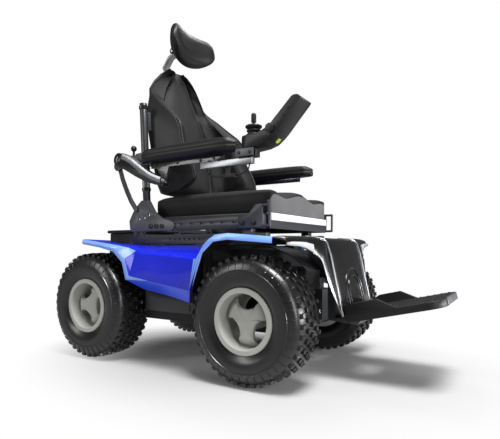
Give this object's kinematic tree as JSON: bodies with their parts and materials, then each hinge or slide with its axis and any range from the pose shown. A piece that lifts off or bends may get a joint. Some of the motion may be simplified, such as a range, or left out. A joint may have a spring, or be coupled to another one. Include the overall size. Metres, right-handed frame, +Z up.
{
  "type": "powered wheelchair",
  "caption": "All terrain powered wheelchair with knobbly tyres, blue side body, tilting seat, reclining back, flip-up arms, swing-away joystick and folding footplate.",
  "frame": {"origin": "on the floor under the middle of the overall box, wheels to footplate tip", "axes": "+X forward, +Y to the sitter's left, +Z up"},
  "size_m": [1.2692, 0.67, 1.1869],
  "materials": {
    "frame": "satin powder coat",
    "tray": "moulded",
    "battery": "moulded",
    "body_blue": "gloss lacquer",
    "fender_black": "semi gloss",
    "lens": "clear over white",
    "motor": "cast",
    "tyre": "matte rubber",
    "rim": "cast, satin",
    "footplate": "moulded",
    "steel": "brushed",
    "silver": "anodised",
    "cover": "woven",
    "pad": "smooth",
    "shell": "moulded",
    "trim_white": "gloss",
    "screen": "gloss",
    "rubber": "matte",
    "pod": "fine texture"
  },
  "bodies": {
    "chassis": {"chassis_frame": "frame", "batteries": "battery", "battery_tray": "tray", "side_body_right": "body_blue", "side_body_left": "body_blue", "sill_plates": "frame", "front_fender_right": "fender_black", "front_fender_left": "fender_black", "headlights": "lens", "front_shroud": "fender_black", "controller_box": "tray", "deck_lid": "tray", "base_rails": "frame", "rear_motors": "motor", "footplate_hanger": "frame", "arch_liners": "tray", "tilt_actuator": "motor"},
    "front_axle": {"front_axle_beam": "frame", "front_motors": "motor"},
    "wheel_front_right": {"tyre_front_right": "tyre", "rim_front_right": "rim"},
    "wheel_front_left": {"tyre_front_left": "tyre", "rim_front_left": "rim"},
    "wheel_rear_right": {"tyre_rear_right": "tyre", "rim_rear_right": "rim"},
    "wheel_rear_left": {"tyre_rear_left": "tyre", "rim_rear_left": "rim"},
    "footrest": {"footplate": "footplate"},
    "seat": {"seat_rails": "frame", "seat_pan": "frame", "seat_front_trim": "trim_white", "seat_cushion": "cover", "back_plates": "frame", "tilt_shaft": "steel", "transit_brackets": "frame", "seat_bolts": "steel"},
    "tilt_piston": {"tilt_rod": "steel"},
    "backrest": {"back_canes": "silver", "back_shell": "shell", "back_cushion": "cover", "cane_clamps": "frame"},
    "head_stem": {"headrest_stem": "silver"},
    "head_pad": {"headrest_pad": "pad"},
    "carrier_right": {"arm_carrier_right": "frame"},
    "link_right": {"arm_link_right": "frame"},
    "armrest_right": {"arm_right": "frame", "arm_pad_right": "pad"},
    "release_right": {"release_knob_right": "pod"},
    "carrier_left": {"arm_carrier_left": "frame"},
    "link_left": {"arm_link_left": "frame"},
    "armrest_left": {"arm_left": "frame", "arm_pad_left": "pad"},
    "release_left": {"release_knob_left": "pod"},
    "swing": {"swing_arm": "silver"},
    "pod": {"joystick_housing": "pod", "joystick_screen": "screen", "joystick_boot": "rubber"},
    "gimbal": {"joystick_gimbal": "steel"},
    "stick": {"joystick_stick": "rubber"},
    "dial": {"speed_dial": "pod"}
  },
  "joints": [
    {"name": "front_axle_roll", "type": "hinge", "parent": "chassis", "child": "front_axle", "pos_m": [0.17018, 0, 0.2645], "axis": [1, 0, 0], "range_deg": [-3, 3]},
    {"name": "wheel_front_right_spin", "type": "hinge", "parent": "front_axle", "child": "wheel_front_right", "pos_m": [0.17018, -0.262, 0.1775], "axis": [0, 1, 0], "continuous": true},
    {"name": "wheel_front_left_spin", "type": "hinge", "parent": "front_axle", "child": "wheel_front_left", "pos_m": [0.17018, 0.262, 0.1775], "axis": [0, 1, 0], "continuous": true},
    {"name": "wheel_rear_right_spin", "type": "hinge", "parent": "chassis", "child": "wheel_rear_right", "pos_m": [-0.45482, -0.262, 0.1775], "axis": [0, 1, 0], "continuous": true},
    {"name": "wheel_rear_left_spin", "type": "hinge", "parent": "chassis", "child": "wheel_rear_left", "pos_m": [-0.45482, 0.262, 0.1775], "axis": [0, 1, 0], "continuous": true},
    {"name": "seat_tilt", "type": "hinge", "parent": "chassis", "child": "seat", "pos_m": [-0.33232, 0, 0.436], "axis": [0, -1, 0], "range_deg": [0, 30]},
    {"name": "tilt_piston_slide", "type": "slide", "parent": "chassis", "child": "tilt_piston", "axis": [1, 0, 0], "range_m": [0, 0.04659]},
    {"name": "back_recline", "type": "hinge", "parent": "seat", "child": "backrest", "pos_m": [-0.28032, 0, 0.515], "axis": [0, -1, 0], "range_deg": [0, 40]},
    {"name": "carrier_right_level", "type": "hinge", "parent": "backrest", "child": "carrier_right", "pos_m": [-0.36132, -0.245, 0.668], "axis": [0, -1, 0], "range_deg": [-40, 0]},
    {"name": "link_right_swing", "type": "hinge", "parent": "seat", "child": "link_right", "pos_m": [-0.30832, -0.239, 0.5], "axis": [0, -1, 0], "range_deg": [0, 40]},
    {"name": "armrest_right_flip", "type": "hinge", "parent": "carrier_right", "child": "armrest_right", "pos_m": [-0.36132, -0.258, 0.668], "axis": [0, -1, 0], "range_deg": [0, 100]},
    {"name": "release_right_pull", "type": "slide", "parent": "backrest", "child": "release_right", "axis": [0, 0, 1], "range_m": [0, 0.008]},
    {"name": "carrier_left_level", "type": "hinge", "parent": "backrest", "child": "carrier_left", "pos_m": [-0.36132, 0.245, 0.668], "axis": [0, -1, 0], "range_deg": [-40, 0]},
    {"name": "link_left_swing", "type": "hinge", "parent": "seat", "child": "link_left", "pos_m": [-0.30832, 0.239, 0.5], "axis": [0, -1, 0], "range_deg": [0, 40]},
    {"name": "armrest_left_flip", "type": "hinge", "parent": "carrier_left", "child": "armrest_left", "pos_m": [-0.36132, 0.258, 0.668], "axis": [0, -1, 0], "range_deg": [0, 100]},
    {"name": "release_left_pull", "type": "slide", "parent": "backrest", "child": "release_left", "axis": [0, 0, 1], "range_m": [0, 0.008]},
    {"name": "headrest_lift", "type": "slide", "parent": "backrest", "child": "head_stem", "axis": [0, 0, 1], "range_m": [0, 0.06]},
    {"name": "headrest_turn", "type": "hinge", "parent": "head_stem", "child": "head_pad", "pos_m": [-0.3392, 0, 1.122], "axis": [0, 1, 0], "range_deg": [-20, 12]},
    {"name": "footplate_fold", "type": "hinge", "parent": "chassis", "child": "footrest", "pos_m": [0.40968, 0, 0.196], "axis": [0, -1, 0], "range_deg": [0, 75]},
    {"name": "swing_out", "type": "hinge", "parent": "armrest_right", "child": "swing", "pos_m": [0.02268, -0.29, 0.606], "axis": [0, 0, -1], "range_deg": [0, 80]},
    {"name": "pod_turn", "type": "hinge", "parent": "swing", "child": "pod", "pos_m": [0.17068, -0.29, 0.606], "axis": [0, 0, -1], "range_deg": [-80, 0]},
    {"name": "stick_fore_aft", "type": "hinge", "parent": "pod", "child": "gimbal", "pos_m": [0.17368, -0.272, 0.665], "axis": [0, 1, 0], "range_deg": [-15, 15], "deforming": ["joystick_boot"]},
    {"name": "stick_sideways", "type": "hinge", "parent": "gimbal", "child": "stick", "pos_m": [0.17368, -0.272, 0.665], "axis": [1, 0, 0], "range_deg": [-15, 15], "deforming": ["joystick_boot"]},
    {"name": "speed_dial_turn", "type": "hinge", "parent": "pod", "child": "dial", "pos_m": [0.24277, -0.305, 0.68094], "axis": [0, 1, 0], "range_deg": [-120, 120]}
  ],
  "couplings": [
    {"joint": "tilt_piston_slide", "follows": "seat_tilt", "m_per_rad": 0.088975},
    {"joint": "pod_turn", "follows": "swing_out", "ratio": -1},
    {"joint": "carrier_right_level", "follows": "back_recline", "ratio": -1},
    {"joint": "link_right_swing", "follows": "back_recline", "ratio": 1},
    {"joint": "carrier_left_level", "follows": "back_recline", "ratio": -1},
    {"joint": "link_left_swing", "follows": "back_recline", "ratio": 1}
  ]
}
